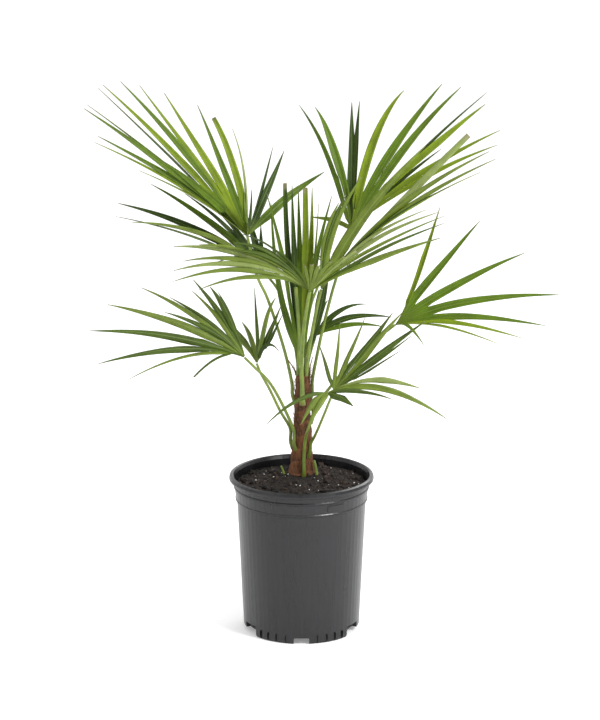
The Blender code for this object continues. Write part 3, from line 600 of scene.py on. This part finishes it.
# A frond's stalk from inside the trunk to the hub: its radius falls evenly, times 1 + footFlare exp(-along)
def stalkTube(frond):
    root = np.array(frond["root"], float)
    inward = unit(np.array((*trunkHead, root[2])) - root)
    buried = root + inward * stalkLook["intoTrunk"] - (0, 0, stalkLook["belowRoot"])
    path = smoothPath([buried, root, *frond["way"], frond["hub"]], stalkLook["steps"])
    flare = 1 + stalkLook["footFlare"] * np.exp(-np.linspace(0, stalkLook["flareFall"], len(path)))
    radii = np.linspace(*frond["stalk"], len(path)) * flare
    return tube(path * mm, radii * mm, stalkLook["sides"], stalkLook["flat"])


# A cut stalk or torn strand, whose radius changes evenly along it
def cutTube(name):
    path = smoothPath(cutStalks[name], stalkLook["cutSteps"])
    return tube(path * mm, np.linspace(*cutRadii[name], len(path)) * mm, stalkLook["cutSides"])


# Green stalk: blotches, then fine ridges along it and a browner foot, each mixed in by its own mark
def stalkMaterial():
    look = Look("stalkSkin")
    along = look.attribute("along")
    aroundStrip = look.attribute("round") * stalkLook["stripRound"]
    strip = look.pack(aroundStrip, along * stalkLook["stripLong"], look.attribute("seed"))
    ridges = look.noise(strip, *stalkLook["ridgeNoise"])
    blotch = look.noise(look.place(), *stalkLook["blotchNoise"])
    tone = look.mix(look.span(blotch, *stalkLook["blotchMark"]), stalkLook["dark"], stalkLook["light"])
    tone = look.mix(look.span(ridges, *stalkLook["ridgeMark"]), tone, stalkLook["ridge"])
    tone = look.mix(look.span(along, *stalkLook["footMark"]), tone, stalkLook["foot"])
    bump = look.bump(ridges, stalkLook["bumpDepth"], stalkLook["bumpStrength"])
    return look.finish({"Base Color": tone, "Roughness": stalkLook["roughness"], "Normal": bump})


hashRight, hashUp, hashSeed, hashSize = 127.1, 311.7, 74.7, 43758.5453  # any large uneven numbers do


# Value noise on a plane, from 0 to 1: each whole corner gets the part after the point of hashSize sin(its
# hash), and the four corners round a place are blended by eased shares
def hashNoise(x, y, seed):
    def corner(right, up):
        return np.abs(np.sin(right * hashRight + up * hashUp + seed * hashSeed) * hashSize) % 1.0
    i = np.floor(x)
    j = np.floor(y)
    u = easeShare(x - i)
    v = easeShare(y - j)
    low = corner(i, j) * (1 - u) + corner(i + 1, j) * u
    high = corner(i, j + 1) * (1 - u) + corner(i + 1, j + 1) * u
    return low * (1 - v) + high * v


# Trunk sizes as in the part's source: where its middle is low down and at the head, and the radius by height
trunkBase, trunkHead, trunkTop, leanStart = (0.5, 35.0), (2.5, 31.0), 417.0, 257
trunkRadii = (
    (251.8, 22.5), (257, 21.0), (265, 19.2), (289, 17.2), (320, 15.5), (357, 13.2), (390, 12.6), (417, 11.7),
)
trunkHeights, trunkWidths = np.array(trunkRadii).T

# What a user would change on the trunk: colours, noises and marks as on the leaves, and in millimetres how
# far each relief stands out. A relief's noise is its cells round the trunk, their height and slant, a seed
trunkLook = dict(
    # deep is painted shade for the relief's hollows; raised is the fibre's own brown
    deep=(0.014, 0.006, 0.003), raised=(0.230, 0.085, 0.030), fibre=(0.36, 0.19, 0.08),
    hollowShadeMark=(-1.6, 1.4), fibreMark=(0.5, 0.75, 0.0, 0.7), roughness=0.9, bumpDepth=0.0012, bumpStrength=0.8,
    strand=0.9, fine=0.5, lump=1.5, sheath=0.9, sheathRise=21.0, sheathWaves=((9, 2, 1.2), (5, 3, 0.0)),
    strandNoises=((46, 14.0, 0.35, 1), (46, 14.0, -0.35, 2)), fineNoise=(130, 5.0, 0.2, 3),
    lumpNoise=(7, 22.0, 0.1, 4), weaveNoise=(900.0, 5.0, 0.7), weaveStretch=(1.0, 1.0, 0.16),
    sunk=0.3, rows=260, sides=180,
)
slantFrom, slantOver, seamPart = 250, 170, 0.1


# How far up the lean a height is, from 0 to 1, and the trunk's middle there
def leanAt(height):
    lean = np.clip((height - leanStart) / (trunkTop - leanStart), 0, 1)
    x, y = [low + lean * (high - low) for low, high in zip(trunkBase, trunkHead)]
    return lean, x, y


# The trunk's skin: the source's radius by height plus a relief of crossing strands, fine fibre, lumps and
# slanting rings of old leaf bases, each its size times its noise less the noise's mean
def makeTrunk():
    rows = trunkLook["rows"]
    sides = trunkLook["sides"]
    z = np.linspace(trunkHeights[0], trunkHeights[-1], rows)[:, None]
    turn = np.linspace(0, fullTurn, sides, endpoint=False)[None, :]

    # Noise wound round the trunk at a slant, blended with itself one round on where it would meet its start
    def ringNoise(across, upwards, slant, seed):
        place = (turn / fullTurn + slant * (z - slantFrom) / slantOver) % 1.0
        blend = np.clip((place - (1 - seamPart)) / seamPart, 0, 1)
        here = hashNoise(place * across, z / upwards, seed)
        oneRoundOn = hashNoise((place - 1) * across, z / upwards, seed)
        return here * (1 - blend) + oneRoundOn * blend

    strands = sum(ringNoise(*noise) for noise in trunkLook["strandNoises"])
    fine = ringNoise(*trunkLook["fineNoise"])
    lumps = ringNoise(*trunkLook["lumpNoise"])
    slanted = z + sum(size * np.sin(turn * times + phase) for size, times, phase in trunkLook["sheathWaves"])
    sheath = (slanted / trunkLook["sheathRise"]) % 1.0
    relief = trunkLook["strand"] * (strands - 1.0) + trunkLook["fine"] * (fine - 0.5)
    relief = relief + trunkLook["lump"] * (lumps - 0.5) + trunkLook["sheath"] * (sheath - 0.5)
    radius = np.interp(z, trunkHeights, trunkWidths) + relief - trunkLook["sunk"]
    middleX, middleY = leanAt(z)[1:]
    x = middleX + radius * np.cos(turn)
    y = middleY + radius * np.sin(turn)
    skin = np.stack([x, y, np.broadcast_to(z, x.shape)], axis=-1).reshape(-1, 3)
    caps = [(*trunkBase, trunkHeights[0]), (*trunkHead, trunkHeights[-1] + 1)]
    faces = gridFaces(rows, sides, True).tolist() + endFaces(rows, sides).tolist()
    material = trunkMaterial()
    # deep carries the relief's height, which the material turns into painted shade in the hollows
    makePiece("trunk_skin", np.vstack([skin, caps]) * mm, faces, [material], ["trunk"], None,
              dict(deep=np.concatenate([relief.ravel(), [0, 0]])))
    return material


# Brown fibre: painted shade, near black, in the relief's hollows, and a weave drawn out upwards with paler
# threads
def trunkMaterial():
    look = Look("trunkFibre")
    weave = look.noise(look.stretch(look.place(), trunkLook["weaveStretch"]), *trunkLook["weaveNoise"])
    hollowShade = look.span(look.attribute("deep"), *trunkLook["hollowShadeMark"])
    tone = look.mix(hollowShade, trunkLook["deep"], trunkLook["raised"])
    tone = look.mix(look.span(weave, *trunkLook["fibreMark"]), tone, trunkLook["fibre"])
    bump = look.bump(weave, trunkLook["bumpDepth"], trunkLook["bumpStrength"])
    return look.finish({"Base Color": tone, "Roughness": trunkLook["roughness"], "Normal": bump})


# What a user would change on the loose fibres: their number, and sizes in millimetres and shares
hairLook = dict(
    count=230, low=262, above=155, crowding=(2.2, 1.0), length=(8, 26), shortest=0.6, longerUp=0.7,
    spread=(0.10, 0.38), aside=0.3, rise=0.95, curl=1.6, radii=(0.28, 0.10), rings=6, sides=5, sunk=0.6,
)


# Loose fibres, most of them near the trunk's top: start + length (share rise upwards + share to the power
# curl times the way outwards and aside)
def makeHairs(material):
    tubes = []
    share = np.linspace(0, 1, hairLook["rings"])[:, None]
    radii = np.linspace(*hairLook["radii"], hairLook["rings"]) * mm
    for _ in range(hairLook["count"]):
        up = hairLook["low"] + hairLook["above"] * rng.beta(*hairLook["crowding"])
        turn = rng.uniform(0, fullTurn)
        radius = np.interp(up, trunkHeights, trunkWidths) - hairLook["sunk"]
        lean, middleX, middleY = leanAt(up)
        outward = np.array((math.cos(turn), math.sin(turn), 0.0))
        sideways = np.array((-math.sin(turn), math.cos(turn), 0.0)) * rng.uniform(-1, 1)
        start = np.array((middleX, middleY, up)) + outward * radius
        length = rng.uniform(*hairLook["length"]) * (hairLook["shortest"] + hairLook["longerUp"] * lean)
        away = outward * rng.uniform(*hairLook["spread"]) + sideways * hairLook["aside"]
        path = start + length * (share * (0, 0, hairLook["rise"]) + share ** hairLook["curl"] * away)
        tubes.append(tube(path * mm, radii, hairLook["sides"]))
    joinTubes("fibre_hairs", tubes, material, [])


# Soil sizes as in the part's source, in millimetres
soilEdge, soilTop, soilFlat, soilWall = 243.5, 251.5, 35.0, 105.2
soilFoot, soilFootRadius = 30.0, 91.0

# What a user would change on the soil: colours, marks, and the crumbs in millimetres. A crumb layer is its
# height, its width, its seed and whether both halves of its noise stand up
soilLook = dict(
    dark=(0.003, 0.002, 0.0015), light=(0.024, 0.015, 0.009), patch=(0.045, 0.026, 0.015),
    grainNoise=(420.0, 6.0, 0.7), patchNoise=(90.0, 3.0, 0.6),
    grainMark=(0.35, 0.7), patchMark=(0.62, 0.75, 0.0, 0.6),
    roughness=0.92, bumpDepth=0.0015, bumpStrength=0.9,
    crumbs=((2.4, 7, 5, False), (2.6, 2.6, 6, True), (1.0, 1.2, 7, False)), sunk=0.6,
    rows=110, sides=300, crowding=0.8, middle=0.4,
)


# The soil's height: level round the trunk, then an eased fall to the wall. The level patch is centred on the
# trunk, and that offset shrinks to nothing at the wall
def soilHeight(x, y):
    away = np.hypot(x - trunkBase[0], y - trunkBase[1] * (1 - np.hypot(x, y) / soilWall))
    share = np.clip((away - soilFlat) / (soilWall - soilFlat), 0, 1)
    return soilTop - (soilTop - soilEdge) * easeShare(share)


# The soil as a polar grid, radius = wall (share to the power crowding), at the soil's height plus crumbs,
# with one more ring at its foot and a face over each end
def makeSoil():
    rows = soilLook["rows"]
    sides = soilLook["sides"]
    radius = np.linspace(0.0, 1.0, rows)[:, None] ** soilLook["crowding"] * soilWall
    radius[0] = soilLook["middle"]
    turn = np.linspace(0, fullTurn, sides, endpoint=False)
    x = radius * np.cos(turn)
    y = radius * np.sin(turn)
    z = soilHeight(x, y) - soilLook["sunk"]
    for height, width, seed, bothUp in soilLook["crumbs"]:
        crumb = hashNoise(x / width, y / width, seed) - 0.5
        z += height * (np.abs(crumb) if bothUp else crumb)
    top = np.stack([x, y, z], axis=-1).reshape(-1, 3)
    foot = [soilFootRadius * np.cos(turn), soilFootRadius * np.sin(turn), np.full(sides, soilFoot)]
    points = np.vstack([top, np.stack(foot, axis=-1)])
    faces = gridFaces(rows + 1, sides, True)[:, ::-1].tolist()
    faces.append(list(range(sides)))
    faces.append(list(range(rows * sides, (rows + 1) * sides))[::-1])
    look = Look("soilCrumbs")
    grain = look.noise(look.place(), *soilLook["grainNoise"])
    patch = look.noise(look.place(), *soilLook["patchNoise"])
    tone = look.mix(look.span(grain, *soilLook["grainMark"]), soilLook["dark"], soilLook["light"])
    tone = look.mix(look.span(patch, *soilLook["patchMark"]), tone, soilLook["patch"])
    bump = look.bump(grain, soilLook["bumpDepth"], soilLook["bumpStrength"])
    material = look.finish({"Base Color": tone, "Roughness": soilLook["roughness"], "Normal": bump})
    makePiece("soil_top", points * mm, faces, [material], ["soil"], smooth=False)


# What a user would change on the bits that lie on the soil: their number, sizes in millimetres, and each
# finish's colour and roughness
bitsLook = dict(
    count=620, whiteShare=0.07, chipSize=(3.0, 0.55), chipShape=(1.6, 0.9, 0.5), chipVaries=(0.7, 1.3),
    whiteSize=(0.7, 1.3), cornerVaries=(0.6, 1.0), reach=0.97, clear=0.03, above=0.5,
    finishes=dict(
        chipDark=((0.008, 0.005, 0.004), 0.85), chipBrown=((0.030, 0.015, 0.008), 0.8),
        whiteGrain=((0.62, 0.60, 0.54), 0.8),
    ),
    darker=0.7, lighter=1.3, grainNoise=(300.0, 3.0, 0.6), grainMark=(0.3, 0.7),
    bumpDepth=0.0006, bumpStrength=0.5,
)


# A chip's or grain's finish: its colour, darker and lighter by a fine noise that is also its bump
def bitMaterial(name, color, roughness):
    look = Look(name)
    grain = look.noise(look.place(), *bitsLook["grainNoise"])
    share = look.span(grain, *bitsLook["grainMark"])
    tone = look.mix(share, scaled(color, bitsLook["darker"]), scaled(color, bitsLook["lighter"]))
    bump = look.bump(grain, bitsLook["bumpDepth"], bitsLook["bumpStrength"])
    return look.finish({"Base Color": tone, "Roughness": roughness, "Normal": bump})


# The rotation matrices of rows of unit quaternions w, i, j, k
def turnsOf(spins):
    w, i, j, k = spins.T
    first = np.stack([1 - 2 * (j * j + k * k), 2 * (i * j - k * w), 2 * (i * k + j * w)], axis=-1)
    second = np.stack([2 * (i * j + k * w), 1 - 2 * (i * i + k * k), 2 * (j * k - i * w)], axis=-1)
    third = np.stack([2 * (i * k - j * w), 2 * (j * k + i * w), 1 - 2 * (i * i + j * j)], axis=-1)
    return np.stack([first, second, third], axis=1)


# Bark chips and white grains: boxes whose corners are drawn in by random shares, turned at random and laid
# evenly over the soil
def makeBits():
    count = bitsLook["count"]
    turn = rng.uniform(0, fullTurn, count)
    away = soilWall * bitsLook["reach"] * np.sqrt(rng.uniform(bitsLook["clear"], 1, count))
    x = away * np.cos(turn)
    y = away * np.sin(turn)
    z = soilHeight(x, y) + bitsLook["above"]
    size = rng.gamma(*bitsLook["chipSize"], (count, 1)) * np.array(bitsLook["chipShape"])
    size = size * rng.uniform(*bitsLook["chipVaries"], (count, 3))
    white = rng.uniform(0, 1, count) < bitsLook["whiteShare"]
    size[white] = rng.uniform(*bitsLook["whiteSize"], (white.sum(), 1))
    corner = np.array([(a, b, c) for a in (-1, 1) for b in (-1, 1) for c in (-1, 1)], float)
    box = corner * size[:, None] * rng.uniform(*bitsLook["cornerVaries"], (count, 8, 1))
    turned = turnsOf(unit(rng.normal(size=(count, 4))))
    points = np.einsum("nab,npb->npa", turned, box) + np.stack([x, y, z], axis=-1)[:, None]
    sides = np.array([(0, 1, 3, 2), (4, 6, 7, 5), (0, 4, 5, 1), (2, 3, 7, 6), (0, 2, 6, 4), (1, 5, 7, 3)])
    faces = (sides + len(corner) * np.arange(count)[:, None, None]).reshape(-1, 4)
    slotOf = np.where(white, 2, rng.integers(0, 2, count))
    materials = [bitMaterial(name, *finish) for name, finish in bitsLook["finishes"].items()]
    makePiece("soil_bits", points.reshape(-1, 3) * mm, faces.tolist(), materials, [],
              np.repeat(slotOf, len(sides)))


# What a user would change on the pot
potLook = dict(
    dark=(0.005, 0.005, 0.006), light=(0.009, 0.009, 0.011), streakMark=(0.3, 0.7), roughness=(0.26, 0.34),
    streakNoise=(160.0, 4.0, 0.6), streakStretch=(1.0, 1.0, 0.03), grainNoise=(1400.0, 2.0, 0.5),
    specular=0.5, bumpDepth=0.0002, bumpStrength=0.15, sharpOver=28,  # degrees between faces
)


# Black plastic: streaks drawn out down the wall change its tone and roughness, and a fine grain its surface
def potMaterial():
    look = Look("potPlastic")
    place = look.place()
    streaks = look.noise(look.stretch(place, potLook["streakStretch"]), *potLook["streakNoise"])
    grain = look.noise(place, *potLook["grainNoise"])
    return look.finish({
        "Base Color": look.mix(look.span(streaks, *potLook["streakMark"]), potLook["dark"], potLook["light"]),
        "Roughness": look.span(streaks, *potLook["streakMark"], *potLook["roughness"]),
        "Normal": look.bump(grain, potLook["bumpDepth"], potLook["bumpStrength"]),
        "Specular IOR Level": potLook["specular"],
    })


# The CAD pot keeps its shape, and is shaded smooth up to its sharp edges
def dressPot():
    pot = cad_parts["pot"]
    pot.data.materials.clear()
    pot.data.materials.append(potMaterial())
    pot.data.polygons.foreach_set("use_smooth", np.ones(len(pot.data.polygons), bool))
    pot.data.set_sharp_from_angle(angle=math.radians(potLook["sharpOver"]))


# What a user would change on the stage: metres, watts and degrees. A lamp is its place, size and power
stageLook = dict(
    wide=30.0, deep=6.0, rise=30.0, bendRadius=3.0, bendSteps=12,
    floorDark=(0.93, 0.93, 0.93), floorLight=(0.96, 0.96, 0.96), floorNoise=(6.0, 3.0, 0.55),
    floorRoughness=0.9, glow=(1.0, 1.0, 1.0), glowStrength=0.22,
    sky=(1.0, 1.0, 1.0, 1.0), skyStrength=0.8, aim=(0.0, 0.0, 0.45),
    lamps=dict(
        key=((1.9, -1.6, 2.4), 0.8, 78.0), fill=((-2.4, -1.6, 1.8), 2.0, 6.0),
        rim=((1.2, 2.2, 2.2), 1.4, 22.0),
    ),
    cameraPlace=(-0.0024, -5.2744, 1.8636), cameraTilt=75, lens=170.0, sensor=36.0,
)


# A white floor that bends up into a wall: a level line, a quarter circle and an upright line, drawn out
# sideways
def makeFloor():
    deep = stageLook["deep"]
    radius = stageLook["bendRadius"]
    angles = np.linspace(0, math.pi / 2, stageLook["bendSteps"] + 1)
    bend = [(deep + radius * math.sin(angle), radius - radius * math.cos(angle)) for angle in angles]
    outline = [(-stageLook["wide"], 0.0), *bend, (deep + radius, stageLook["rise"])]
    places = [(x, y, z) for y, z in outline for x in (-stageLook["wide"], stageLook["wide"])]
    faces = [(2 * k, 2 * k + 1, 2 * k + 3, 2 * k + 2) for k in range(len(outline) - 1)]
    mesh = bpy.data.meshes.new("floor")
    mesh.from_pydata(places, [], faces)
    mesh.polygons.foreach_set("use_smooth", np.ones(len(faces), bool))
    look = Look("floorWhite")
    grain = look.noise(look.place(), *stageLook["floorNoise"])
    mesh.materials.append(look.finish({
        "Base Color": look.mix(grain, stageLook["floorDark"], stageLook["floorLight"]),
        "Roughness": stageLook["floorRoughness"],
        "Emission Color": stageLook["glow"], "Emission Strength": stageLook["glowStrength"],
    }))
    addObject("floor", mesh)


# An even white sky, and soft lamps that face the plant's middle
def makeLights():
    world = bpy.data.worlds.new("studio")
    bpy.context.scene.world = world
    world.use_nodes = True
    sky = world.node_tree.nodes["Background"]
    sky.inputs["Color"].default_value = stageLook["sky"]
    sky.inputs["Strength"].default_value = stageLook["skyStrength"]
    for name, (place, size, watts) in stageLook["lamps"].items():
        light = bpy.data.lights.new(name, "AREA")
        light.size = size
        light.energy = watts
        lamp = addObject(name, light)
        lamp.location = place
        x, y, z = np.array(stageLook["aim"]) - np.array(place)
        lamp.rotation_euler = (math.atan2(math.hypot(x, y), -z), 0.0, math.atan2(x, -y) + math.pi)


# The photo's view: a long lens that looks down a little
def makeCamera():
    scene = bpy.context.scene
    scene.view_settings.view_transform = "Standard"
    camera = bpy.data.cameras.new("photoView")
    camera.lens = stageLook["lens"]
    camera.sensor_width = stageLook["sensor"]
    eye = addObject("photoView", camera)
    eye.location = stageLook["cameraPlace"]
    eye.rotation_euler = (math.radians(stageLook["cameraTilt"]), 0.0, 0.0)
    scene.camera = eye


# Three top and three under materials: mid green, painted shade and painted light
leafMaterials = []
for surface, colors, ribColor in (("Top", "top", "topRib"), ("Under", "under", "underRib")):
    for k, color in enumerate(leafLook[colors]):
        leafMaterials.append(leafMaterial("leaf%s%d" % (surface, k), color, leafLook[ribColor]))
for frondName, frondSizes in fronds.items():
    makeFan(frondName, frondSizes, leafMaterials)
print("leaves made")
greenCuts = [name for name in cutStalks if not name.startswith("torn")]
tornCuts = [name for name in cutStalks if name.startswith("torn")]
stalkTubes = [stalkTube(frond) for frond in fronds.values()] + [cutTube(name) for name in greenCuts]
stalkNodes = ["stalk_" + name for name in fronds] + greenCuts
joinTubes("stalks", stalkTubes, stalkMaterial(), stalkNodes)
trunkSkin = makeTrunk()
joinTubes("torn_fibres", [cutTube(name) for name in tornCuts], trunkSkin, tornCuts)
makeHairs(trunkSkin)
print("stalks and trunk made")
makeSoil()
makeBits()
dressPot()
print("soil and pot made")
makeFloor()
makeLights()
makeCamera()
print("floor, lamps and camera made")
